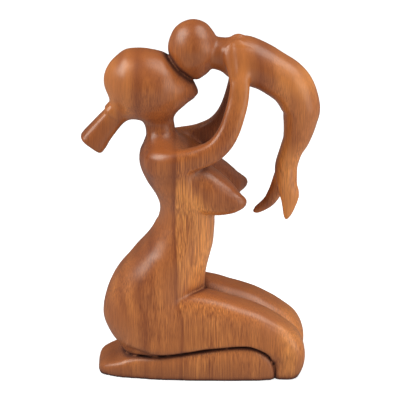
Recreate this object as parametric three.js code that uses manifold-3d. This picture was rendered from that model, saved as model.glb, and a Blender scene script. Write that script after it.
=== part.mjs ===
// A carved wooden figure, in millimetres, +Z up: a mother kneels on her folded legs, facing +X,
// and lifts her child in front of her to kiss it. It is one solid piece of wood, so every form
// below is shaped on its own and then joined to the others, and the whole is cut flat underneath.
import * as THREE from "three";
import { mergeVertices } from "three/addons/utils/BufferGeometryUtils.js";
import Module from "manifold-3d";

const wasm = await Module();
wasm.setup();

// Driving sizes. The figure is worked from a block of this length, width and height.
const LENGTH = 200;
const WIDTH = 85;
const HEIGHT = 306;

// Half the distance between the middle lines of the two arms, hands, breasts, thighs and feet.
const SHOULDER_SPREAD = 33.3;
const HAND_SPREAD = 15;
const BREAST_SPREAD = 27;
const THIGH_SPREAD = 21.2;
const FOOT_SPREAD = 10;

// How finely the forms are cut: flats around a form, and rings between the last two sections of a
// closed end.
const FLATS_AROUND = 20;
const RINGS_PER_END = 3;

// Squareness of a section: 2 is an ellipse, more is squarer, and less has a ridge on each side.
const RIDGED = 1.6;
const OVAL = 2;
const ROUNDED = 2.2;
const SOFT = 2.4;
const SQUARED = 2.8;
const FULL = 3;
const BOXY = 3.2;
const NEARLY_SQUARE = 9;

// Directions that sections can face. Other sections lie square to the line of their form.
const UP = new THREE.Vector3(0, 0, 1);
const FORWARD = new THREE.Vector3(1, 0, 0);

// A form is a row of sections along its middle line, each [x, y, z, thick, deep]: the middle of
// the section, its size in the side view, and its size from side to side. A section of no
// thickness closes the form in a round end, and other ends are cut flat.

// Seat, waist, chest and neck, with level sections.
const TRUNK = [
  [-35, 0, 10, 50, 66],
  [-36.5, 0, 24, 67, 76],
  [-38.4, 0, 34, 78, 79],
  [-39.5, 0, 49, 86, 82.5],
  [-37.7, 0, 68, 83.5, 82.5],
  [-32.8, 0, 86, 76, 80],
  [-23.6, 0, 104, 66, 74.5],
  [-18.9, 0, 112, 60.2, 71],
  [-15.3, 0, 120, 55, 68.5],
  [-12.5, 0, 128, 50.9, 67],
  [-10.9, 0, 134, 47.8, 66],
  [-10.2, 0, 145, 46.8, 66],
  [-13.1, 0, 157, 48.2, 69],
  [-18.3, 0, 169, 52.7, 74],
  [-22.6, 0, 182, 55.2, 78],
  [-25, 0, 191, 51.1, 77],
  [-27, 0, 198, 41.3, 67],
  [-30.2, 0, 204.5, 30.4, 46],
  [-32.3, 0, 210, 25.4, 31],
  [-33.6, 0, 216, 24.8, 25.5],
  [-34.7, 0, 222, 26, 26],
  [-38, 0, 230, 35, 34],
];

// Head, with upright sections from the back of the skull to the chin.
const HEAD = [
  [-80.2, 0, 254, 0, 0],
  [-76.4, 0, 254, 25.8, 24],
  [-70.3, 0, 253.2, 41.9, 38],
  [-61.4, 0, 252.3, 56, 49],
  [-51.4, 0, 251.2, 60.6, 54],
  [-41.4, 0, 250.7, 59.9, 55],
  [-31.3, 0, 250.2, 55.6, 52],
  [-24, 0, 249.8, 47.5, 46],
  [-16.4, 0, 247.5, 35, 36.5],
  [-10, 0, 246.7, 23.6, 26],
  [-5.5, 0, 246.3, 16.4, 18.5],
  [-3, 0, 245.4, 9, 10.5],
  [-1.2, 0, 244.2, 0, 0],
];

// Tail of hair, which flares to a cut end, and the band that ties it.
const TAIL = [
  [-59, 0, 237, 18, 16],
  [-67, 0, 228.2, 19.5, 17],
  [-74, 0, 220.4, 19.4, 18],
  [-82.6, 0, 210.2, 20.8, 20.5],
  [-87.5, 0, 203.7, 22.6, 22.5],
  [-91.8, 0, 198, 22.6, 24.5],
];
const BAND = [
  [-68.5, 0, 229, 19.5, 20],
  [-72.3, 0, 223.9, 20, 21],
];

// Arm, from the shoulder over the bent elbow to the wrist, and the hand on the child's side.
const ARM = [
  [-40, 20, 189, 0, 0],
  [-35, 26, 190, 20, 17],
  [-28, 30.5, 190.8, 22, 19],
  [-19, 32.8, 191.8, 21.5, 18.5],
  [-6.5, SHOULDER_SPREAD, 194.8, 19.2, 17],
  [3, 33, 197.9, 18.8, 16.5],
  [12.2, 32, 202.5, 18.5, 16],
  [19.4, 30, 209.6, 18.2, 15.5],
  [25.6, 28, 220.3, 17.7, 14.5],
  [29.5, 26, 232.5, 17.3, 13.5],
  [32.2, 23.5, 243.5, 17, 12.5],
  [33.5, 21, 255, 16, 11.5],
  [33.2, 16.5, 265, 13, 8.5],
  [32, 12.5, 274, 9, 5],
  [32, 10, 281, 0, 0],
];
const HAND = [
  [30.5, 19.5, 256, 0, 0],
  [29.2, 18.6, 262, 8.5, 8],
  [28, 17, 269, 9.5, 8],
  [26.8, HAND_SPREAD, 277, 11.5, 7],
  [26.6, 12.6, 283, 11.5, 5],
  [26.2, 10.4, 287, 0, 0],
];

// The far hand holds the child a little lower than the near one, from the wrist up.
const FAR_HAND_DROP = 5.5;
const WRIST_HEIGHT = 245;
const FINGER_HEIGHT = 285;

// Breast, from inside the chest to its blunt tip. The two sit unevenly, as carved by hand.
const BREAST = [
  [-22, 14, 180, 0, 0],
  [-8, 17.5, 172, 38, 32],
  [7, 20, 163.6, 38.8, 34],
  [18, 22.3, 159.1, 33.2, 30],
  [28, 25.2, 156.4, 24, 21.5],
  [35, BREAST_SPREAD, 155.9, 15, 15],
  [41.2, 27.7, 156.3, 0, 0],
];
const NEAR_BREAST_BACK = 1.5;
const FAR_BREAST_RISE = 0.3;

// Thigh, from the hip over the knee and down to the ground.
const THIGH = [
  [-58, 19, 41, 0, 0],
  [-52, 20, 40, 42, 34],
  [-38, THIGH_SPREAD, 41, 60, 40],
  [-14, THIGH_SPREAD, 43, 68, 42],
  [2, THIGH_SPREAD, 43.5, 62.5, 42.5],
  [22, THIGH_SPREAD, 41, 56, 42.5],
  [42, THIGH_SPREAD, 37.7, 49.3, 42],
  [58, THIGH_SPREAD, 33, 40.8, 40.5],
  [70.6, 21.5, 24.8, 36.3, 38.5],
  [75, 22, 13.2, 29.4, 35],
  [70.5, 22.5, -4, 19, 31],
];

// Shins and feet, which lie flat under the thighs as one slab: [x, height, width].
const SLAB = [
  [-87, 4, 18],
  [-85.5, 6.5, 38],
  [-83, 8.5, 50],
  [-78, 11, 57],
  [-70, 13.6, 65],
  [-62, 16.8, 69],
  [-50, 19.8, 73],
  [-38, 20.8, 78],
  [-20, 23.3, 81],
  [0, 26.9, 83],
  [16, 29.5, 84],
  [33, 31, 84],
  [43.5, 30.6, 83],
  [52.5, 27.2, 82],
  [59.5, 21.5, 80],
  [63.3, 12, 77],
  [64.3, -4, 74],
];
const BELOW_GROUND = 40;

// Child's head, from the crown to the chin.
const CHILD_HEAD = [
  [-4.3, 0, 306.5, 0, 0],
  [-4.5, 0, 301.5, 25.5, 23],
  [-5, 0, 293.5, 37, 34],
  [-5.1, 0, 283, 42.5, 39.5],
  [-4.6, 0, 273, 38.5, 36],
  [-3.2, 0, 265, 28.2, 27],
  [-2.6, 0, 258.5, 14.5, 16],
  [-2.2, 0, 255, 0, 0],
];

// Child's body, from the neck over the arched back to the ankles.
const CHILD_BODY = [
  [4, 0, 278.8, 27, 26],
  [14, 0, 277.8, 27.3, 26.5],
  [21.5, 0, 276.4, 28, 28],
  [30, 0, 274.3, 35.3, 33],
  [41, 0, 270.7, 40.3, 37.5],
  [58.8, 0, 262.6, 37.7, 38],
  [76.1, 0, 250, 36.7, 37.5],
  [84.7, 0, 232.5, 32.8, 35.5],
  [84.6, 0, 219.5, 28.5, 33],
  [81.7, 0, 204.5, 23.2, 30],
  [77.3, 0, 193.5, 19.2, 27],
  [73.2, 0, 179.5, 19, 25],
  [73.2, 0, 169.5, 17.8, 24],
  [73.5, 0, 164, 12, 18],
  [74, 0, 160, 0, 0],
];

// Child's feet: the near one points down and the far one forward, to the mother.
const NEAR_FOOT = [
  [73, -6, 175.5, 15.5, 13],
  [74, -8, 165.5, 16.5, 12.5],
  [76, -9, 156, 16.5, 10],
  [75.3, -FOOT_SPREAD, 146.5, 11, 7.5],
  [73.9, -FOOT_SPREAD, 138.5, 5.5, 5],
  [73.2, -FOOT_SPREAD, 135, 0, 0],
];
const FAR_FOOT = [
  [71.5, 6, 175.5, 13, 13],
  [68.3, 8, 163, 14.5, 12.5],
  [63.6, 9, 152, 12, 10],
  [57.9, FOOT_SPREAD, 143.5, 9.8, 8],
  [49.2, FOOT_SPREAD, 137.1, 7, 6],
  [45.4, FOOT_SPREAD, 135.3, 0, 0],
];

const WOOD = new THREE.MeshStandardMaterial({ color: 0xa5602f, roughness: 0.42, metalness: 0 });

// A closed mesh with shared vertices, as a solid that can be joined and cut.
function solidFrom(positions, triangles) {
  const mesh = new wasm.Mesh({
    numProp: 3,
    vertProperties: new Float32Array(positions),
    triVerts: new Uint32Array(triangles),
  });
  return new wasm.Manifold(mesh);
}

function solidFromGeometry(geometry) {
  geometry.deleteAttribute("normal");
  geometry.deleteAttribute("uv");
  const merged = mergeVertices(geometry);
  return solidFrom(merged.attributes.position.array, merged.index.array);
}

// One ring of points: a section of the given half sizes, lying square to a direction.
function ring(centre, direction, halfThick, halfDeep, squareness) {
  const sideways = new THREE.Vector3(0, 1, 0);
  sideways.addScaledVector(direction, -direction.y).normalize();
  const across = new THREE.Vector3().crossVectors(sideways, direction);
  const reach = (value) => Math.sign(value) * Math.abs(value) ** (2 / squareness);
  const points = [];
  for (let flat = 0; flat < FLATS_AROUND; flat++) {
    const angle = (2 * Math.PI * flat) / FLATS_AROUND;
    points.push(
      centre
        .clone()
        .addScaledVector(across, halfThick * reach(Math.cos(angle)))
        .addScaledVector(sideways, halfDeep * reach(Math.sin(angle))),
    );
  }
  return points;
}

// How deep each section is for its thickness. A closed end takes the value of its neighbour.
function spreads(sections) {
  const values = sections.map(([, , , thick, deep]) => deep / thick);
  const last = values.length - 1;
  if (sections[0][3] === 0) values[0] = values[1];
  if (sections[last][3] === 0) values[last] = values[last - 1];
  return values;
}

// A solid through a row of sections, smooth between them. The square of the thickness changes
// evenly along the line, which makes the closed ends round.
function form(sections, { squareness = SOFT, facing = null } = {}) {
  const smooth = (points) => new THREE.CatmullRomCurve3(points, false, "catmullrom", 0.5);
  const path = smooth(sections.map(([x, y, z]) => new THREE.Vector3(x, y, z)));
  const spread = spreads(sections);
  const sizes = smooth(sections.map(([, , , thick], i) => new THREE.Vector3((thick / 2) ** 2, spread[i], 0)));
  const last = sections.length - 1;
  const closedStart = sections[0][3] === 0;
  const closedEnd = sections[last][3] === 0;

  const places = [];
  for (let section = 0; section < last; section++) {
    const closing = (section === 0 && closedStart) || (section === last - 1 && closedEnd);
    const steps = closing ? RINGS_PER_END : 1;
    for (let step = 0; step < steps; step++) places.push(section + step / steps);
  }
  if (closedStart) places.shift();
  if (!closedEnd) places.push(last);

  const loops = places.map((place) => {
    const t = place / last;
    const size = sizes.getPoint(t);
    const halfThick = Math.sqrt(size.x);
    return ring(path.getPoint(t), facing ?? path.getTangent(t), halfThick, halfThick * size.y, squareness);
  });
  const points = [path.getPoint(0), ...loops.flat(), path.getPoint(1)];
  const triangles = [];
  const tip = points.length - 1;
  const at = (loop, flat) => 1 + loop * FLATS_AROUND + (flat % FLATS_AROUND);
  for (let flat = 0; flat < FLATS_AROUND; flat++) {
    triangles.push(0, at(0, flat + 1), at(0, flat));
    triangles.push(tip, at(loops.length - 1, flat), at(loops.length - 1, flat + 1));
    for (let loop = 0; loop + 1 < loops.length; loop++) {
      triangles.push(at(loop, flat), at(loop, flat + 1), at(loop + 1, flat + 1));
      triangles.push(at(loop, flat), at(loop + 1, flat + 1), at(loop + 1, flat));
    }
  }
  return solidFrom(points.flatMap((point) => point.toArray()), triangles);
}

// The same form moved, or on the near side (-Y) of the figure.
const moved = (sections, dx, dz) => sections.map(([x, y, z, thick, deep]) => [x + dx, y, z + dz, thick, deep]);
const mirrored = (sections) => sections.map(([x, y, z, thick, deep]) => [x, -y, z, thick, deep]);

function armsAndHands() {
  const lowered = (sections) =>
    sections.map(([x, y, z, thick, deep]) => {
      const drop = FAR_HAND_DROP * THREE.MathUtils.smoothstep(z, WRIST_HEIGHT, FINGER_HEIGHT);
      return [x, y, z - drop, thick, deep];
    });
  return [
    form(mirrored(ARM), { squareness: SQUARED }),
    form(lowered(ARM), { squareness: SQUARED }),
    form(mirrored(HAND)),
    form(lowered(HAND)),
  ];
}

function breasts() {
  return [
    form(moved(mirrored(BREAST), -NEAR_BREAST_BACK, 0)),
    form(moved(BREAST, 0, FAR_BREAST_RISE)),
  ];
}

function thighs() {
  return [form(mirrored(THIGH), { squareness: FULL }), form(THIGH, { squareness: BOXY })];
}

function shinsAndFeet() {
  const sections = SLAB.map(([x, height, width]) => {
    const thick = height + BELOW_GROUND;
    return [x, 0, height - thick / 2, thick, width];
  });
  return form(sections, { squareness: NEARLY_SQUARE, facing: FORWARD });
}

// Everything below the ground plane, to cut the underside flat.
function belowGround() {
  const box = new THREE.BoxGeometry(2 * LENGTH, 2 * WIDTH, HEIGHT);
  box.translate(0, 0, -HEIGHT / 2);
  return solidFromGeometry(box);
}

function motherAndChild() {
  const forms = [
    form(TRUNK, { squareness: ROUNDED, facing: UP }),
    form(HEAD, { squareness: OVAL, facing: FORWARD }),
    form(TAIL, { squareness: BOXY }),
    form(BAND, { squareness: BOXY }),
    ...armsAndHands(),
    ...breasts(),
    ...thighs(),
    shinsAndFeet(),
    form(CHILD_HEAD, { squareness: OVAL }),
    form(CHILD_BODY, { squareness: OVAL }),
    form(NEAR_FOOT, { squareness: RIDGED }),
    form(FAR_FOOT, { squareness: RIDGED }),
  ];
  const whole = forms.reduce((joined, next) => joined.add(next)).subtract(belowGround());
  const { vertProperties, triVerts } = whole.getMesh();
  const geometry = new THREE.BufferGeometry();
  geometry.setAttribute("position", new THREE.BufferAttribute(vertProperties, 3));
  geometry.setIndex(new THREE.BufferAttribute(triVerts, 1));
  geometry.computeVertexNormals();
  const mesh = new THREE.Mesh(geometry, WOOD);
  mesh.name = "mother_and_child";
  return mesh;
}

const sculpture = new THREE.Group();
sculpture.name = "family_sculpture";
sculpture.add(motherAndChild());

export default sculpture;
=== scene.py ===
# Family sculpture: a mother kneels on her folded legs and lifts her child in front of her to kiss it.
# It is one block of reddish brown hardwood, carved, sanded smooth and polished to a satin gloss.
# The carving is worked out in millimetres, +X the way the mother faces and +Z up, and its finished
# surface is turned into metres for the mesh.
import math

import bpy
import numpy as np
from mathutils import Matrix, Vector


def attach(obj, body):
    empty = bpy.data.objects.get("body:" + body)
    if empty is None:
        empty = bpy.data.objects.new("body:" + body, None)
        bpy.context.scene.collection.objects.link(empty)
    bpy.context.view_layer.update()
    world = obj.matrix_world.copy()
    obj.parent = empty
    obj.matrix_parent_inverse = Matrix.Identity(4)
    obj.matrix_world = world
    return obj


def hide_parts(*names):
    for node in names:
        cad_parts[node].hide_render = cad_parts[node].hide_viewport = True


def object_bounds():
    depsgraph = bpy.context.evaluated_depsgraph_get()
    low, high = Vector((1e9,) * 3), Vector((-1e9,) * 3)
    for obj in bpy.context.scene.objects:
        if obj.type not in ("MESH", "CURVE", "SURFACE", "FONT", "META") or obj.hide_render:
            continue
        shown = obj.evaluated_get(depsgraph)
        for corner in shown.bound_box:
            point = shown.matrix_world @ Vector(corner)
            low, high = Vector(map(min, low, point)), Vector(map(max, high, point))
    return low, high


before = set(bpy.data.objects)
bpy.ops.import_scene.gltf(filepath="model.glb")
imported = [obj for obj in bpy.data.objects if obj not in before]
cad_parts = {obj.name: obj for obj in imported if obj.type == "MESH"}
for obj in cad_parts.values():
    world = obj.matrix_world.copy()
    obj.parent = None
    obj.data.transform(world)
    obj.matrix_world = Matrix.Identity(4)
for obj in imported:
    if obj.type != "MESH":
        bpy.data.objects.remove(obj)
cad_box = [list(corner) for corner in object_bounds()]


# Trunk
# The seat, waist, chest and neck are the heart of the block, and every other form grows out of it.
# It is cut level by level. Each row is [x, y, z, thick, deep]: the middle of a level section, its size
# in the side view and its size from side to side.
TRUNK = [
    [-35, 0, 10, 50, 66],
    [-36.5, 0, 24, 67, 76],
    [-38.4, 0, 34, 78, 79],
    [-39.5, 0, 49, 86, 82.5],
    [-37.7, 0, 68, 83.5, 82.5],
    [-32.8, 0, 86, 76, 80],
    [-23.6, 0, 104, 66, 74.5],
    [-18.9, 0, 112, 60.2, 71],
    [-15.3, 0, 120, 55, 68.5],
    [-12.5, 0, 128, 50.9, 67],
    [-10.9, 0, 134, 47.8, 66],
    [-10.2, 0, 145, 46.8, 66],
    [-13.1, 0, 157, 48.2, 69],
    [-18.3, 0, 169, 52.7, 74],
    [-22.6, 0, 182, 55.2, 78],
    [-25, 0, 191, 51.1, 77],
    [-27, 0, 198, 41.3, 67],
    [-30.2, 0, 204.5, 30.4, 46],
    [-32.3, 0, 210, 25.4, 31],
    [-33.6, 0, 216, 24.8, 25.5],
    [-34.7, 0, 222, 26, 26],
    [-38, 0, 230, 35, 34],
]
# Squareness of a section: 2 is an oval, more is squarer, and less has a ridge on each side.
ROUNDED = 2.2
SOFT = 2.4
# How far an end cut flat is rounded, and how far around itself a form is worked out.
EDGE = 2.0
NEARBY = 12.0
# The search for the nearest place on a line: marks for each row, steps, and the longest step in rows.
MARKS = 6
STEPS = 3
LONGEST_STEP = 0.17
LEAST_STIFFNESS = 0.4
# Small amounts that keep a division or a root from meeting nothing.
TINY = 1e-6
TINIEST = 1e-9


def cubic_pieces(rows):
    """The four terms of a smooth cubic from each row to the next one."""
    first = 2 * rows[:1] - rows[1:2]
    last = 2 * rows[-1:] - rows[-2:-1]
    padded = np.vstack([first, rows, last])
    a, b, c, d = padded[:-3], padded[1:-2], padded[2:-1], padded[3:]
    return np.stack([b, (c - a) / 2, a - 2.5 * b + 2 * c - d / 2, (d - a + 3 * (b - c)) / 2])


def along(pieces, place):
    """Value, slope and bend of the rows at a place, which counts from the first row."""
    step = np.clip(place.astype(int), 0, pieces.shape[1] - 1)
    part = (place - step)[:, None]
    a, b, c, d = pieces[:, step]
    value = a + part * (b + part * (c + part * d))
    slope = b + part * (2 * c + 3 * part * d)
    bend = 2 * c + 6 * part * d
    return value, slope, bend


class Form:
    """A shape of wood along a smooth line of sections, given as the distance to its surface.

    A row of no thickness closes the shape in a round end, and the other ends are cut flat, with an
    edge rounded over the given length.
    """

    def __init__(self, rows, squareness=SOFT, facing=None, edge=EDGE):
        rows = np.array(rows, float)
        spread = rows[:, 4] / np.maximum(rows[:, 3], TINY)
        closed = rows[:, 3] == 0
        if closed[0]:
            spread[0] = spread[1]
        if closed[-1]:
            spread[-1] = spread[-2]
        self.pieces = cubic_pieces(np.c_[rows[:, :3], (rows[:, 3] / 2) ** 2, spread])
        self.last = len(rows) - 1
        self.squareness = squareness
        self.facing = facing
        self.edge = edge
        self.closed = closed[0], closed[-1]
        self.marks = np.linspace(0, self.last, MARKS * self.last + 1)
        self.spots, slopes, _ = along(self.pieces, self.marks)
        facings = self.way(slopes)
        self.ends = [(self.spots[i, :3], facings[i]) for i in (0, -1)]
        reach = rows[:, 3:].max() / 2 + NEARBY
        self.low = self.spots[:, :3].min(0) - reach
        self.high = self.spots[:, :3].max(0) + reach

    def way(self, slope):
        """The direction that the sections face."""
        if self.facing:
            return np.tile(np.array(self.facing, float), (len(slope), 1))
        return slope[:, :3] / np.linalg.norm(slope[:, :3], axis=1)[:, None]

    def nearest(self, points):
        """The place on the line that lies nearest to each point, or level with it."""
        spots = self.spots[:, :3]
        if self.facing:
            return np.interp(points @ self.facing, spots @ self.facing, self.marks)
        place = self.marks[((spots ** 2).sum(1) - 2 * points @ spots.T).argmin(1)]
        for _ in range(STEPS):
            value, slope, bend = along(self.pieces, place)
            off = points - value[:, :3]
            pull = (off * slope[:, :3]).sum(1)
            run = (slope[:, :3] ** 2).sum(1)
            stiff = np.maximum(run - (off * bend[:, :3]).sum(1), LEAST_STIFFNESS * run)
            step = np.clip(pull / stiff, -LONGEST_STEP, LONGEST_STEP)
            place = np.clip(place + step, 0, self.last)
        return place

    def distance(self, points):
        """How far each point is from the surface, below zero inside. It is true near the surface."""
        value, slope, _ = along(self.pieces, self.nearest(points))
        way = self.way(slope)
        run = (slope[:, :3] * way).sum(1)
        side = np.array([0.0, 1.0, 0.0]) - way * way[:, 1:2]
        side /= np.linalg.norm(side, axis=1)[:, None]
        across = np.cross(side, way)
        off = points - value[:, :3]
        past = (off * way).sum(1)
        shift = (slope[:, :3] * across).sum(1) / run * np.sign((off * across).sum(1))
        thick = np.abs((off * across).sum(1))
        spread = value[:, 4]
        deep = np.abs((off * side).sum(1)) / spread
        swell = slope[:, 3] / run
        size = value[:, 3] + swell * past
        n = self.squareness
        total = thick ** n + deep ** n + TINIEST
        reach = total ** (2 / n)
        steep = 4 * reach ** (2 - n) * (thick ** (2 * n - 2) + deep ** (2 * n - 2) / spread ** 2)
        growth = swell + 2 * reach ** (1 - n / 2) * thick ** (n - 1) * shift
        gap = reach - size
        distance = gap / np.sqrt(steep + growth ** 2 + np.maximum(-gap, 0) + TINY)
        for (spot, facing), closed, outward in zip(self.ends, self.closed, (-1, 1)):
            if not closed:
                distance = meet(distance, outward * ((points - spot) @ facing), self.edge)
        return distance

    def near(self, points):
        """Which points are close enough for the form to matter to them."""
        return ((points > self.low) & (points < self.high)).all(1)


def join(one, other, soft):
    """Both shapes as one, with the corner between them filled over the given length."""
    bridge = np.maximum(soft - np.abs(one - other), 0)
    return np.minimum(one, other) - bridge ** 2 / (4 * soft)


def meet(one, other, soft):
    """What both shapes share, with its edge rounded over the given length."""
    return -join(-one, -other, soft)


def add(wood, points, form, soft):
    """Joins a form to the wood. The softness is a length, or a function that gives one for each point."""
    near = form.near(points)
    if not near.any():
        return
    fill = soft(points[near]) if callable(soft) else soft
    wood[near] = join(wood[near], form.distance(points[near]), fill)


def blend(value, start, end, low, high):
    """Goes smoothly from low to high as the value goes from start to end."""
    part = np.clip((value - start) / (end - start), 0, 1)
    return low + (high - low) * part * part * (3 - 2 * part)


trunk = Form(TRUNK, ROUNDED, facing=(0, 0, 1))


# Head and tied hair
# The head is a plain egg without features, and the cheek and brow rest against the child's face.
# Behind it a band ties the hair, which leaves the head as a square tail with a cut end.
HEAD = [
    [-80.2, 0, 254, 0, 0],
    [-76.4, 0, 254, 25.8, 24],
    [-70.3, 0, 253.2, 41.9, 38],
    [-61.4, 0, 252.3, 56, 49],
    [-51.4, 0, 251.2, 60.6, 54],
    [-41.4, 0, 250.7, 59.9, 55],
    [-31.3, 0, 250.2, 55.6, 52],
    [-24, 0, 249.8, 47.5, 46],
    [-16.4, 0, 247.5, 35, 36.5],
    [-10, 0, 246.7, 23.6, 26],
    [-5.5, 0, 246.3, 16.4, 18.5],
    [-3, 0, 245.4, 9, 10.5],
    [-1.2, 0, 244.2, 0, 0],
]
TAIL = [
    [-59, 0, 237, 18, 16],
    [-67, 0, 228.2, 19.5, 17],
    [-74, 0, 220.4, 19.4, 18],
    [-82.6, 0, 210.2, 20.8, 20.5],
    [-87.5, 0, 203.7, 22.6, 22.5],
    [-91.8, 0, 198, 22.6, 24.5],
]
BAND = [
    [-68.5, 0, 229, 19.5, 20],
    [-72.3, 0, 223.9, 20, 21],
]

OVAL = 2.0
BOXY = 3.2
HEAD_JOIN = 7.0
TAIL_JOIN = 8.0
TAIL_EDGE = 2.5
BAND_EDGE = 1.2

head = Form(HEAD, OVAL, facing=(1, 0, 0))
tail = Form(TAIL, BOXY, edge=TAIL_EDGE)
band = Form(BAND, BOXY, edge=BAND_EDGE)


# Arms
# Both arms leave the shoulders forward and rise to the child, and the hands close on its sides as
# plain mittens without fingers. The far hand holds a little lower than the near one.
ARM = [
    [-40, 20, 189, 0, 0],
    [-35, 26, 190, 20, 17],
    [-28, 30.5, 190.8, 22, 19],
    [-19, 32.8, 191.8, 21.5, 18.5],
    [-6.5, 33.3, 194.8, 19.2, 17],
    [3, 33, 197.9, 18.8, 16.5],
    [12.2, 32, 202.5, 18.5, 16],
    [19.4, 30, 209.6, 18.2, 15.5],
    [25.6, 28, 220.3, 17.7, 14.5],
    [29.5, 26, 232.5, 17.3, 13.5],
    [32.2, 23.5, 243.5, 17, 12.5],
    [33.5, 21, 255, 16, 11.5],
    [33.2, 16.5, 265, 13, 8.5],
    [32, 12.5, 274, 9, 5],
    [32, 10, 281, 0, 0],
]
HAND = [
    [30.5, 19.5, 256, 0, 0],
    [29.2, 18.6, 262, 8.5, 8],
    [28, 17, 269, 9.5, 8],
    [26.8, 15, 277, 11.5, 7],
    [26.6, 12.6, 283, 11.5, 5],
    [26.2, 10.4, 287, 0, 0],
]
FAR_HAND_DROP = 5.5
WRIST_HEIGHT = 245.0
FINGER_HEIGHT = 285.0
SQUARED = 2.8
# A join that changes along the figure is written as start, end, and the softness at each of them.
SHOULDER_JOIN = -22, 0, 7, 4
PALM_JOIN = 244, 258, 0, 9
FINGER_JOIN = 26, 31, 4, 0.5


def mirrored(rows):
    """The same rows on the near side."""
    return [[x, -y, z, thick, deep] for x, y, z, thick, deep in rows]


def lowered_hand(rows):
    """The same rows with the part from the wrist to the fingers moved down."""
    lowered = []
    for x, y, z, thick, deep in rows:
        drop = float(blend(z, WRIST_HEIGHT, FINGER_HEIGHT, 0, FAR_HAND_DROP))
        lowered.append([x, y, z - drop, thick, deep])
    return lowered


def arm_join(points):
    return blend(points[:, 0], *SHOULDER_JOIN) + blend(points[:, 2], *PALM_JOIN)


def hand_join(points):
    return blend(points[:, 0], *FINGER_JOIN)


near_arm = Form(mirrored(ARM), SQUARED)
far_arm = Form(lowered_hand(ARM), SQUARED)
near_hand = Form(mirrored(HAND), SOFT)
far_hand = Form(lowered_hand(HAND), SOFT)


# Breasts
# Each breast leaves the chest as a full cone with a blunt tip, and is undercut below.
BREAST = [
    [-22, 14, 180, 0, 0],
    [-8, 17.5, 172, 38, 32],
    [7, 20, 163.6, 38.8, 34],
    [18, 22.3, 159.1, 33.2, 30],
    [28, 25.2, 156.4, 24, 21.5],
    [35, 27, 155.9, 15, 15],
    [41.2, 27.7, 156.3, 0, 0],
]
NEAR_BREAST_BACK = 1.5
FAR_BREAST_RISE = 0.3
UPPER_BREAST_JOIN = 150, 172, 1.5, 10
INNER_BREAST_JOIN = -4, 12, 1.5, 12


def breast_join(points):
    above = blend(points[:, 2], *UPPER_BREAST_JOIN)
    behind = blend(-points[:, 0], *INNER_BREAST_JOIN)
    return np.maximum(above, behind)


near_breast = [[x - NEAR_BREAST_BACK, y, z, thick, deep] for x, y, z, thick, deep in mirrored(BREAST)]
far_breast = [[x, y, z + FAR_BREAST_RISE, thick, deep] for x, y, z, thick, deep in BREAST]
breasts = [Form(near_breast, SOFT), Form(far_breast, SOFT)]


# Thighs
# Each thigh runs forward from the hip, turns over the knee and stands on the ground.
THIGH = [
    [-58, 19, 41, 0, 0],
    [-52, 20, 40, 42, 34],
    [-38, 21.2, 41, 60, 40],
    [-14, 21.2, 43, 68, 42],
    [2, 21.2, 43.5, 62.5, 42.5],
    [22, 21.2, 41, 56, 42.5],
    [42, 21.2, 37.7, 49.3, 42],
    [58, 21.2, 33, 40.8, 40.5],
    [70.6, 21.5, 24.8, 36.3, 38.5],
    [75, 22, 13.2, 29.4, 35],
    [70.5, 22.5, -4, 19, 31],
]
FULL = 3.0
THIGHS_JOIN = 8.0
HIP_JOIN = -32, -10, 5.5, 1.5
# The belly presses a shallow fold above the thighs. It starts and is full at these places along X.
FOLD_WIDTH = 2.8
FOLD_DEPTH = 0.9
FOLD_START = -24
FOLD_FULL = -8

near_thigh = Form(mirrored(THIGH), FULL)
far_thigh = Form(THIGH, BOXY)


# Shins and feet
# The shins lie flat under the thighs as one slab, cut off level with the ground. Behind the seat it
# thins to the wedge of the feet. Each row is [x, height, width].
SLAB = [
    [-87, 4, 18],
    [-85.5, 6.5, 38],
    [-83, 8.5, 50],
    [-78, 11, 57],
    [-70, 13.6, 65],
    [-62, 16.8, 69],
    [-50, 19.8, 73],
    [-38, 20.8, 78],
    [-20, 23.3, 81],
    [0, 26.9, 83],
    [16, 29.5, 84],
    [33, 31, 84],
    [43.5, 30.6, 83],
    [52.5, 27.2, 82],
    [59.5, 21.5, 80],
    [63.3, 12, 77],
    [64.3, -4, 74],
]
BELOW_GROUND = 40.0
ENDLESS = 1000.0
NEARLY_SQUARE = 9.0
SLAB_JOIN = 0.6
GROOVE_EDGE = 15, 50, 3.5, 1.4


def slab_rows(extra_width):
    """The slab as level rows that reach down into the ground."""
    rows = []
    for x, height, width in SLAB:
        thick = height + BELOW_GROUND
        rows.append([x, 0, height - thick / 2, thick, width + extra_width])
    return rows


slab = Form(slab_rows(0), NEARLY_SQUARE, facing=(1, 0, 0))
slab_profile = Form(slab_rows(ENDLESS), OVAL, facing=(1, 0, 0))


# Child
# The child's head is an egg with a small blunt chin. Its body arches over and hangs down from the
# hands, and ends in two pointed feet: the near one points down and the far one forward.
CHILD_HEAD = [
    [-4.3, 0, 306.5, 0, 0],
    [-4.5, 0, 301.5, 25.5, 23],
    [-5, 0, 293.5, 37, 34],
    [-5.1, 0, 283, 42.5, 39.5],
    [-4.6, 0, 273, 38.5, 36],
    [-3.2, 0, 265, 28.2, 27],
    [-2.6, 0, 258.5, 14.5, 16],
    [-2.2, 0, 255, 0, 0],
]
CHILD_BODY = [
    [4, 0, 278.8, 27, 26],
    [14, 0, 277.8, 27.3, 26.5],
    [21.5, 0, 276.4, 28, 28],
    [30, 0, 274.3, 35.3, 33],
    [41, 0, 270.7, 40.3, 37.5],
    [58.8, 0, 262.6, 37.7, 38],
    [76.1, 0, 250, 36.7, 37.5],
    [84.7, 0, 232.5, 32.8, 35.5],
    [84.6, 0, 219.5, 28.5, 33],
    [81.7, 0, 204.5, 23.2, 30],
    [77.3, 0, 193.5, 19.2, 27],
    [73.2, 0, 179.5, 19, 25],
    [73.2, 0, 169.5, 17.8, 24],
    [73.5, 0, 164, 12, 18],
    [74, 0, 160, 0, 0],
]
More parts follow.
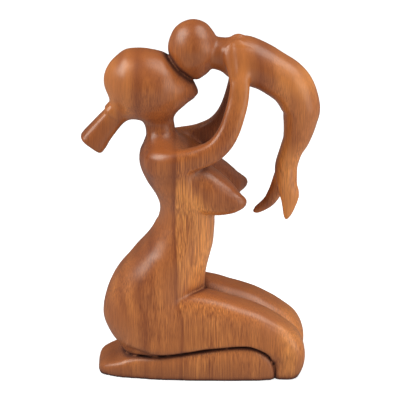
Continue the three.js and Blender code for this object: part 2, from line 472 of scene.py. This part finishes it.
NEAR_FOOT = [
    [73, -6, 175.5, 15.5, 13],
    [74, -8, 165.5, 16.5, 12.5],
    [76, -9, 156, 16.5, 10],
    [75.3, -10, 146.5, 11, 7.5],
    [73.9, -10, 138.5, 5.5, 5],
    [73.2, -10, 135, 0, 0],
]
FAR_FOOT = [
    [71.5, 6, 175.5, 13, 13],
    [68.3, 8, 163, 14.5, 12.5],
    [63.6, 9, 152, 12, 10],
    [57.9, 10, 143.5, 9.8, 8],
    [49.2, 10, 137.1, 7, 6],
    [45.4, 10, 135.3, 0, 0],
]

RIDGED = 1.6
CHILD_HEAD_JOIN = 1.8
NEAR_FOOT_JOIN = 4.0
FAR_FOOT_JOIN = 2.0
CHILD_JOIN = 8, 16, 2, 7

child_head = Form(CHILD_HEAD, OVAL)
child_body = Form(CHILD_BODY, OVAL)
near_foot = Form(NEAR_FOOT, RIDGED)
far_foot = Form(FAR_FOOT, RIDGED)


# Carved surface
# The joined forms are cut flat below, and the tool leaves a faint unevenness that polishing keeps.
# The surface is found in small cells, then every point of it is set exactly on the wood.
MILLIMETRES = 1000
CELL = 1.5
# A coarse cell is this many cells wide. It is worked out finely when the surface is within this many
# of its own widths, and the whole grid reaches this many cells past the frame.
COARSE = 4
BUSY = 1.2
MARGIN = 3
# How the points are moved onto the wood: the step that its slope is felt with, how often they move,
# and the least slope that is believed.
SLOPE_STEP = 0.05
SETTLING_STEPS = 2
LEAST_STEEPNESS = 0.25
# The distance of wood that isn't there yet, and the softness of a join that is only just eased.
FAR_OFF = 60.0
CRISP = 1.0
GROUND_EDGE = 1.5
# The unevenness is a sum of waves, which die out towards the flat foot.
SEED = 7
WAVES = 12
WAVE_LENGTHS = 16.0, 34.0
WAVE_HEIGHT = 0.05
CALM_FOOT = 3.0

chance = np.random.default_rng(SEED)
wave_ways = chance.normal(size=(WAVES, 3))
wave_ways /= np.linalg.norm(wave_ways, axis=1)[:, None]
wave_ways *= 2 * math.pi / chance.uniform(*WAVE_LENGTHS, size=(WAVES, 1))
wave_starts = chance.uniform(0, 2 * math.pi, WAVES)


def sculpture(points):
    """The distance of each point to the surface of the whole figure, below zero inside the wood."""
    wood = np.full(len(points), FAR_OFF)
    add(wood, points, trunk, CRISP)
    thighs = np.full(len(points), FAR_OFF)
    add(thighs, points, near_thigh, CRISP)
    add(thighs, points, far_thigh, THIGHS_JOIN)
    crease = np.exp(-((wood - thighs) / FOLD_WIDTH) ** 2)
    fold = crease * blend(points[:, 0], FOLD_START, FOLD_FULL, 0, FOLD_DEPTH)
    wood = join(wood, thighs, blend(points[:, 0], *HIP_JOIN)) + fold
    near = slab_profile.near(points)
    groove_edge = blend(points[near][:, 0], *GROOVE_EDGE)
    wood[near] = meet(wood[near], -slab_profile.distance(points[near]), groove_edge)
    add(wood, points, slab, SLAB_JOIN)
    add(wood, points, head, HEAD_JOIN)
    add(wood, points, tail, TAIL_JOIN)
    add(wood, points, band, CRISP)
    for breast in breasts:
        add(wood, points, breast, breast_join)
    for arm in (near_arm, far_arm):
        add(wood, points, arm, arm_join)
    child = np.full(len(points), FAR_OFF)
    add(child, points, child_body, CRISP)
    add(child, points, child_head, CHILD_HEAD_JOIN)
    add(child, points, near_foot, NEAR_FOOT_JOIN)
    add(child, points, far_foot, FAR_FOOT_JOIN)
    wood = join(wood, child, blend(points[:, 0], *CHILD_JOIN))
    for hand in (near_hand, far_hand):
        add(wood, points, hand, hand_join)
    wood = meet(wood, -points[:, 2], GROUND_EDGE)
    waves = np.sin(points @ wave_ways.T + wave_starts).sum(1)
    return wood + waves * blend(points[:, 2], 0, CALM_FOOT, 0, WAVE_HEIGHT)


def grid_values(low, high):
    """The distances at the corners of the cells. Far from the surface the coarse ones do."""
    counts = [int(math.ceil((b - a) / (CELL * COARSE))) for a, b in zip(low, high)]
    wide = [a + CELL * COARSE * np.arange(n + 1) for a, n in zip(low, counts)]
    fine = [a + CELL * np.arange(n * COARSE) for a, n in zip(low, counts)]
    corners = np.stack(np.meshgrid(*wide, indexing="ij"), -1)
    coarse = sculpture(corners.reshape(-1, 3)).reshape(corners.shape[:3])
    blocks = [coarse[i:i + counts[0], j:j + counts[1], k:k + counts[2]]
              for i in (0, 1) for j in (0, 1) for k in (0, 1)]
    closest = np.min(np.abs(blocks), axis=0)
    values = coarse[:-1, :-1, :-1]
    for axis in range(3):
        values = np.repeat(values, COARSE, axis)
        closest = np.repeat(closest, COARSE, axis)
    values = values.copy()
    busy = np.nonzero(closest < CELL * COARSE * BUSY)
    places = np.stack([line[index] for line, index in zip(fine, busy)], -1)
    values[busy] = sculpture(places)
    return values, fine


def surface(values, lines):
    """One point in each cell that the surface crosses, and four-sided faces between them."""
    inside = values < 0
    shape = tuple(np.array(values.shape) - 1)
    total = np.zeros(shape + (3,))
    count = np.zeros(shape)
    edges = []
    for axis in range(3):
        others = [a for a in range(3) if a != axis]
        first = [slice(None)] * 3
        second = [slice(None)] * 3
        first[axis] = slice(0, -1)
        second[axis] = slice(1, None)
        a, b = values[tuple(first)], values[tuple(second)]
        crossed = np.nonzero(inside[tuple(first)] != inside[tuple(second)])
        inner = np.ones(len(crossed[0]), bool)
        for other in others:
            inner &= (crossed[other] > 0) & (crossed[other] < shape[other])
        crossed = [index[inner] for index in crossed]
        start, stop = a[tuple(crossed)], b[tuple(crossed)]
        spot = np.stack([lines[i][crossed[i]] for i in range(3)], -1)
        spot[:, axis] += CELL * start / (start - stop)
        around = []
        for back in ((0, 0), (1, 0), (1, 1), (0, 1)):
            cell = [index.copy() for index in crossed]
            for other, shift in zip(others, back):
                cell[other] = cell[other] - shift
            flat = np.ravel_multi_index(cell, shape)
            np.add.at(total.reshape(-1, 3), flat, spot)
            np.add.at(count.reshape(-1), flat, 1)
            around.append(flat)
        turn = (start < 0) if axis != 1 else (start >= 0)
        face = np.stack(around, -1)
        face[~turn] = face[~turn][:, ::-1]
        edges.append(face)
    used = np.nonzero(count.reshape(-1))[0]
    number = np.full(count.size, -1)
    number[used] = np.arange(len(used))
    points = total.reshape(-1, 3)[used] / count.reshape(-1)[used][:, None]
    return points, number[np.vstack(edges)]


def settle(points):
    """Moves points straight onto the surface of the wood."""
    for _ in range(SETTLING_STEPS):
        here = sculpture(points)
        ahead = [sculpture(points + SLOPE_STEP * way) for way in np.eye(3)]
        slope = (np.stack(ahead, -1) - here[:, None]) / SLOPE_STEP
        shift = slope * (here / np.maximum((slope ** 2).sum(1), LEAST_STEEPNESS))[:, None]
        points = points - np.clip(shift, -CELL / 2, CELL / 2)
    return points


low = np.array(cad_box[0]) * MILLIMETRES - MARGIN * CELL
high = np.array(cad_box[1]) * MILLIMETRES + MARGIN * CELL
points, faces = surface(*grid_values(low, high))
points = settle(points)

mesh = bpy.data.meshes.new("mother_and_child_carving")
mesh.from_pydata((points / MILLIMETRES).tolist(), [], faces.tolist())
mesh.validate()
mesh.shade_smooth()
carving = bpy.data.objects.new("mother_and_child_carving", mesh)
bpy.context.scene.collection.objects.link(carving)
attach(carving, "root")
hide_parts("mother_and_child")


# Polished wood
# A close-grained reddish brown hardwood. The grain runs upright through the whole block, with dark
# pores as short dashes on the sides and as dots on level faces, and satin wax over all of it.
# Painted light and shade are mixed into its tones by height, and painted shade darkens its hollows and
# creases.
WOOD_COLOUR = (1.0, 0.365, 0.080, 1)
# Darker wood is redder: its green and its blue fall off by these powers of its strength.
GREEN_FALL = 1.37
BLUE_FALL = 1.25
END_GRAIN_COLOUR = (0.46, 0.135, 0.036, 1)
END_GRAIN_SHARE = 0.5
END_GRAIN_FACING = 0.45, 0.95
WAX_TINT = (1.0, 0.92, 0.82, 1)
WAX_GLOSS = 1.0
PORE_DEPTH = 0.0002
PORE_STRENGTH = 0.3

# Growth bands from the back of the block to its front: [place in mm, strength of the wood's tone].
BLOCK_HALF = 100
GROWTH = [
    [-100, 0.58],
    [-80, 0.60],
    [-72, 0.70],
    [-66, 0.56],
    [-60, 0.72],
    [-52, 0.50],
    [-46, 0.66],
    [-41, 0.54],
    [-36, 0.66],
    [-24, 0.64],
    [-20.6, 0.44],
    [-19.2, 0.76],
    [6, 0.70],
    [36, 0.66],
    [50, 0.70],
    [58, 0.78],
    [66, 0.86],
    [72, 0.92],
]
# How much lighter or darker the bands are higher up than at the thighs: partly the wood's own tone,
# and partly painted light and shade, such as a lighter belly front and a darker neck and child's head.
WAIST_TONE_AND_LIGHT = [
    [-80, 1.0],
    [-60, 0.89],
    [-41, 0.86],
    [-36, 0.94],
    [-24, 0.97],
    [-20.6, 0.91],
    [-19.2, 1.22],
    [6, 1.39],
    [22, 1.09],
    [50, 0.70],
    [58, 0.58],
    [66, 0.88],
    [72, 1.09],
]
# Painted light and shade mixed with the wood's tone, at the chest, arms and neck.
CHEST_TONE_AND_LIGHT = [
    [-80, 0.83],
    [-72, 0.79],
    [-66, 0.86],
    [-20, 0.84],
    [6, 0.71],
    [58, 0.66],
    [72, 0.88],
    [80, 0.74],
]
# Painted light and shade mixed with the wood's tone, at the heads and the child.
HEAD_TONE_AND_LIGHT = [
    [-60, 1.10],
    [-52, 0.90],
    [-46, 0.94],
    [-41, 1.07],
    [-36, 0.92],
    [-24, 0.86],
    [-20.6, 1.14],
    [-19.2, 0.79],
    [6, 0.72],
    [22, 0.75],
    [36, 1.15],
    [50, 0.63],
    [58, 0.69],
    [66, 0.86],
    [80, 1.02],
]
# Heights in metres over which one tone gives way to the next. They are counted from a line that is
# raised in front of the chest and lowered again in the child's legs. Here and below, a change is
# written as start, end, and the value at each of them.
WAIST_HEIGHT = 0.078, 0.088
CHEST_HEIGHT = 0.165, 0.185
HEAD_HEIGHT = 0.215, 0.235
FRONT_RISE = -0.014, 0.014, 0.0, 0.028
CHILD_DROP = 0.060, 0.068, 0.0, 0.050
# The bands waver, and lean towards the front at the ground.
WAVER = 0.007
WAVER_FEATURES = (12, 12, 14)
LEAN = 0.050, 0.080, 0.006, 0.0

# Noise drawn out along the grain, in features for each metre, and the tones that it is turned into,
# each with its place between the noise's low and high values.
BROAD_STREAKS = (70, 70, 4)
STREAK_TONES = [(0.30, 0.74), (0.70, 1.04)]
PORES = (1500, 600, 110)
PORE_TONES = [(0.30, 0.62), (0.52, 1.0), (0.75, 1.22)]
THREADS = (1200, 500, 28)
THREAD_TONES = [(0.34, 0.65), (0.66, 1.3)]
FINE_NOISE = 0.6
PORE_PATCHES = (35, 35, 16)
PATCH_STRENGTH = 0.42, 0.62, 0.25, 1.0
PATCH_HEIGHT = 0.245, 0.268, 1.0, 0.5
# The threads show most in the heart of the block, which ends in front and fades towards the heads.
HEART_START = -0.021, -0.019, 0.35, 1.0
HEART_END = 0.0, 0.03, 1.0, 0.35
HEART_HEIGHT = 0.18, 0.24, 1.0, 0.35

# Painted shade darkens wide hollows and narrow creases of these sizes, and they are left less glossy.
HOLLOW_SIZE = 0.06
PAINTED_HOLLOW_SHADE = [(0.20, 0.22), (0.75, 1.0)]
CREASE_SIZE = 0.007
PAINTED_CREASE_SHADE = [(0.45, 0.35), (0.90, 1.0)]
OPENNESS_SAMPLES = 8
HOLLOW_ROUGHNESS = 0.3, 0.7, 0.85, 0.33

wood = bpy.data.materials.new("polished_wood")
wood.use_nodes = True
carving.data.materials.append(wood)
nodes = wood.node_tree.nodes
links = wood.node_tree.links
shader = nodes["Principled BSDF"]


def place_node(kind, settings=(), **inputs):
    """A node with its settings, and its inputs set to a value or wired to another node.

    An input is given by its name, or as the letter i and its number.
    """
    made = nodes.new(kind)
    for name, value in dict(settings).items():
        setattr(made, name, value)
    for name, value in inputs.items():
        plug(made, name, value)
    return made


def plug(made, name, value):
    numbered = name[0] == "i" and name[1:].isdigit()
    socket = made.inputs[int(name[1:])] if numbered else made.inputs[name]
    if isinstance(value, bpy.types.NodeSocket):
        links.new(value, socket)
    else:
        socket.default_value = value


def streaks(features, roughness=0.5):
    """Noise with its own number of features for each metre along X, Y and Z."""
    place = place_node("ShaderNodeMapping", Vector=place_of_point, Scale=features).outputs["Vector"]
    noise = place_node("ShaderNodeTexNoise", Vector=place, Scale=1.0, Detail=2.0, Roughness=roughness)
    return noise.outputs["Fac"]


def tint(strength):
    """Lighter or darker, for the wood's own tone or for painted light and shade, as a colour to multiply
    the wood's own with.
    """
    return strength, strength ** GREEN_FALL, strength ** BLUE_FALL


def shades(factor, stops):
    """A ramp of tints, each with its place between 0 and 1 and its strength."""
    made = place_node("ShaderNodeValToRGB", Fac=factor)
    ramp = made.color_ramp
    while len(ramp.elements) < len(stops):
        ramp.elements.new(0.5)
    for element, (position, strength) in zip(ramp.elements, stops):
        element.position = position
        element.color = (*tint(strength), 1)
    return made.outputs["Color"]


def reach_from(factor, start, end, low=0.0, high=1.0):
    """Goes smoothly from low to high as the factor goes from start to end."""
    made = place_node("ShaderNodeMapRange", {"interpolation_type": "SMOOTHSTEP"}, Value=factor)
    for name, value in (("i1", start), ("i2", end), ("i3", low), ("i4", high)):
        plug(made, name, value)
    return made.outputs["Result"]


def mixed(factor, one, other, how="MIX"):
    settings = {"data_type": "RGBA", "blend_type": how}
    return place_node("ShaderNodeMix", settings, i0=factor, i6=one, i7=other).outputs[2]


def tinted(colour, tone):
    return mixed(1.0, colour, tone, "MULTIPLY")


def sums(how, one, other):
    return place_node("ShaderNodeMath", {"operation": how}, i0=one, i1=other).outputs[0]


def across_block(rows):
    """A ramp of tones by place between the back and the front of the block: the wood's own, or partly
    painted light and shade.
    """
    return shades(along_block, [((place + BLOCK_HALF) / (2 * BLOCK_HALF), tone) for place, tone in rows])


def openness(size):
    """How free the air around a point is, up to the given distance: 1 on a bulge, less in a dip."""
    settings = {"samples": OPENNESS_SAMPLES}
    return place_node("ShaderNodeAmbientOcclusion", settings, Distance=size).outputs["AO"]


place_of_point = place_node("ShaderNodeTexCoord").outputs["Object"]
point = place_node("ShaderNodeSeparateXYZ", Vector=place_of_point).outputs
normal = place_node("ShaderNodeNewGeometry").outputs["Normal"]
facing = place_node("ShaderNodeSeparateXYZ", Vector=normal).outputs

waver = sums("MULTIPLY", sums("SUBTRACT", streaks(WAVER_FEATURES), 0.5), WAVER)
growth_place = sums("SUBTRACT", sums("ADD", point["X"], waver), reach_from(point["Z"], *LEAN))
half = BLOCK_HALF / MILLIMETRES
along_block = place_node("ShaderNodeMapRange", Value=growth_place, i1=-half, i2=half).outputs["Result"]
height = sums("ADD", point["Z"], reach_from(point["X"], *FRONT_RISE))
height = sums("SUBTRACT", height, reach_from(point["X"], *CHILD_DROP))
# Painted light and shade, mixed with the wood's own tone: lighter or darker by height and by place.
tone_and_painted_light = (1, 1, 1, 1)
for level, change, tone in (
    (point["Z"], WAIST_HEIGHT, WAIST_TONE_AND_LIGHT),
    (height, CHEST_HEIGHT, CHEST_TONE_AND_LIGHT),
    (height, HEAD_HEIGHT, HEAD_TONE_AND_LIGHT),
):
    tone_and_painted_light = mixed(reach_from(level, *change), tone_and_painted_light, across_block(tone))
colour = tinted(tinted(WOOD_COLOUR, across_block(GROWTH)), tone_and_painted_light)
colour = tinted(colour, shades(streaks(BROAD_STREAKS), STREAK_TONES))

pores = streaks(PORES, FINE_NOISE)
patches = reach_from(streaks(PORE_PATCHES), *PATCH_STRENGTH)
patches = sums("MULTIPLY", patches, reach_from(point["Z"], *PATCH_HEIGHT))
dashed = tinted(colour, shades(pores, PORE_TONES))
colour = mixed(patches, colour, dashed)
heart = sums("MULTIPLY", reach_from(growth_place, *HEART_START), reach_from(growth_place, *HEART_END))
heart = sums("MULTIPLY", heart, reach_from(height, *HEART_HEIGHT))
threaded = tinted(colour, shades(streaks(THREADS, FINE_NOISE), THREAD_TONES))
colour = mixed(heart, colour, threaded)
end_grain = reach_from(sums("ABSOLUTE", facing["Z"], 0.0), *END_GRAIN_FACING)
colour = mixed(sums("MULTIPLY", end_grain, END_GRAIN_SHARE), colour, END_GRAIN_COLOUR)

hollow = openness(HOLLOW_SIZE)
crease = openness(CREASE_SIZE)
# Painted shade: the colour is darker where the air around a point is closed in.
colour = tinted(colour, shades(hollow, PAINTED_HOLLOW_SHADE))
colour = tinted(colour, shades(crease, PAINTED_CREASE_SHADE))

plug(shader, "Base Color", colour)
plug(shader, "Roughness", reach_from(sums("MULTIPLY", hollow, crease), *HOLLOW_ROUGHNESS))
plug(shader, "Specular IOR Level", WAX_GLOSS)
plug(shader, "Specular Tint", WAX_TINT)
bump = place_node("ShaderNodeBump", Strength=PORE_STRENGTH, Distance=PORE_DEPTH, Height=pores)
plug(shader, "Normal", bump.outputs["Normal"])


# Stage
# A white floor and backdrop under soft studio light, seen from the photograph's height and distance.
TARGET = Vector((0.0004, 0, 0.1487))
DISTANCE = 2.4
ELEVATION = math.radians(18)
LENS = 254.7
SENSOR = 36
FARTHEST_SEEN = 50
FLOOR_HALF = 9
PAPER = {
    "Base Color": (0.9, 0.9, 0.9, 1),
    "Roughness": 0.9,
    "Emission Color": (1, 1, 1, 1),
    "Emission Strength": 0.7,
}
# Glow of the studio's walls: all round, then more towards each of these sides.
WALL_GLOW = 0.06
SIDE_GLOW = [
    ["X", -1, 0.36],
    ["X", 1, 0.50],
    ["Y", 1, 0.02],
    ["Z", 1, 0.06],
    ["Z", -1, 0.55],
]
# The share of the walls' glow that is kept out of reflections.
DIMMED = 0.5
# Each softbox: name, place, size and power.
SOFTBOXES = [
    ["left_softbox", (-1.1, -0.35, 1.22), (1.1, 1.1), 13.5],
    ["right_softbox", (0.85, -0.25, 1.5), (1.1, 1.1), 9.5],
    ["front_softbox", (1.49, -0.96, 0.45), (1.2, 1.2), 5],
]
TABLE_LIGHT = ["table_light", (0.1, -0.45, 0.04), (0.8, 0.25), 0.45]
TABLE_LIGHT_AIM = (0, 0, 0.05)

corners = [(x * FLOOR_HALF, y * FLOOR_HALF, 0) for x, y in ((-1, -1), (1, -1), (1, 1), (-1, 1))]
floor_mesh = bpy.data.meshes.new("floor")
floor_mesh.from_pydata(corners, [], [(0, 1, 2, 3)])
floor = bpy.data.objects.new("floor", floor_mesh)
bpy.context.scene.collection.objects.link(floor)
paper = bpy.data.materials.new("white_paper")
paper.use_nodes = True
for name, value in PAPER.items():
    paper.node_tree.nodes["Principled BSDF"].inputs[name].default_value = value
floor_mesh.materials.append(paper)
floor.visible_diffuse = False
floor.visible_glossy = False

world = bpy.data.worlds.new("studio")
bpy.context.scene.world = world
world.use_nodes = True
sky = world.node_tree
background = sky.nodes["Background"]
background.inputs["Strength"].default_value = 1.0
facing_sky = sky.nodes.new("ShaderNodeTexCoord")
sky_parts = sky.nodes.new("ShaderNodeSeparateXYZ")
sky.links.new(facing_sky.outputs["Generated"], sky_parts.inputs["Vector"])
light_path = sky.nodes.new("ShaderNodeLightPath")


def sky_sum(how, *values, clamp=False):
    made = sky.nodes.new("ShaderNodeMath")
    made.operation = how
    made.use_clamp = clamp
    for socket, value in zip(made.inputs, values):
        if isinstance(value, bpy.types.NodeSocket):
            sky.links.new(value, socket)
        else:
            socket.default_value = value
    return made.outputs[0]


glow = WALL_GLOW
for axis, way, strength in SIDE_GLOW:
    side = sky_sum("MULTIPLY", sky_parts.outputs[axis], way, clamp=True)
    glow = sky_sum("MULTIPLY_ADD", side, strength, glow)
reflected = sky_sum("MULTIPLY_ADD", light_path.outputs["Is Glossy Ray"], -DIMMED, 1.0)
seen = sky.nodes.new("ShaderNodeMix")
seen.inputs["B"].default_value = 1.0
sky.links.new(light_path.outputs["Is Camera Ray"], seen.inputs["Factor"])
sky.links.new(sky_sum("MULTIPLY", glow, reflected), seen.inputs["A"])
sky.links.new(seen.outputs["Result"], background.inputs["Color"])


def softbox(name, spot, size, power, aim=TARGET):
    lamp = bpy.data.lights.new(name, "AREA")
    lamp.shape = "RECTANGLE"
    lamp.size, lamp.size_y = size
    lamp.energy = power
    holder = bpy.data.objects.new(name, lamp)
    holder.location = spot
    holder.rotation_euler = (Vector(aim) - Vector(spot)).to_track_quat("-Z", "Y").to_euler()
    bpy.context.scene.collection.objects.link(holder)
    return holder


for box in SOFTBOXES:
    softbox(*box)
table_light = softbox(*TABLE_LIGHT, aim=TABLE_LIGHT_AIM)
table_light.visible_glossy = False

camera = bpy.data.objects.new("camera", bpy.data.cameras.new("camera"))
camera.data.lens = LENS
camera.data.sensor_width = SENSOR
back = Vector((0, -math.cos(ELEVATION), math.sin(ELEVATION)))
camera.location = TARGET + back * DISTANCE
camera.rotation_euler = (-back).to_track_quat("-Z", "Y").to_euler()
camera.data.clip_end = FARTHEST_SEEN
bpy.context.scene.collection.objects.link(camera)
bpy.context.scene.camera = camera
bpy.context.scene.view_settings.view_transform = "Standard"
